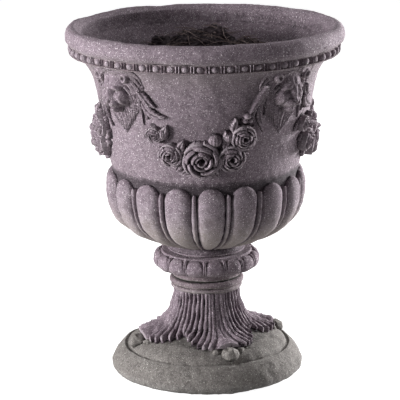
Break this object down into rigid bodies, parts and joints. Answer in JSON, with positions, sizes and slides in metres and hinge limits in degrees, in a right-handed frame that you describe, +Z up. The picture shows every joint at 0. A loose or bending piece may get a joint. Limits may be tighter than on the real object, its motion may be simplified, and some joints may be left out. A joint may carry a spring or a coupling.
{
  "type": "flower pot",
  "caption": "Footed garden urn in cast stone with a flared bell bowl, lion masks, rose garlands and a lobed base, standing loose on a leafy pedestal.",
  "frame": {"origin": "centre of the underside of the foot, on the floor", "axes": "+Z up along the axis of the pot, -Y towards the middle of the front garland, +X to the right of that"},
  "size_m": [0.402, 0.402, 0.518],
  "materials": {
    "cast_stone": "rough mauve grey cast stone with pale grains",
    "foot_stone": "rough green grey cast stone with pale grains",
    "bedding": "dark matt bedding ring",
    "soil": "dark crumbly compost and roots"
  },
  "bodies": {
    "pedestal": {"plinth": "foot_stone", "stem": "cast_stone", "acanthus_leaf_1": "cast_stone", "acanthus_leaf_2": "cast_stone", "acanthus_leaf_3": "cast_stone", "acanthus_leaf_4": "cast_stone", "socket_ring": "cast_stone"},
    "bedding": {"bedding_ring": "bedding"},
    "bowl": {"neck_spigot": "cast_stone", "knot": "cast_stone", "collar": "cast_stone", "lower_bowl": "cast_stone", "gadroons": "cast_stone", "bell": "cast_stone", "flared_rim": "cast_stone", "egg_band": "cast_stone", "lion_mask_1": "cast_stone", "lion_mask_2": "cast_stone", "lion_mask_3": "cast_stone", "lion_mask_4": "cast_stone", "garland_1": "cast_stone", "garland_2": "cast_stone", "garland_3": "cast_stone", "garland_4": "cast_stone", "roses_1": "cast_stone", "roses_2": "cast_stone", "roses_3": "cast_stone", "roses_4": "cast_stone", "potting_soil": "soil"}
  },
  "joints": [
    {"name": "bowl_turn", "type": "hinge", "parent": "pedestal", "child": "bedding", "pos_m": [0, 0, 0.1435], "axis": [0, 0, 1], "continuous": true},
    {"name": "bowl_lift", "type": "slide", "parent": "bedding", "child": "bowl", "axis": [0, 0, 1], "range_m": [0, 0.08]}
  ]
}
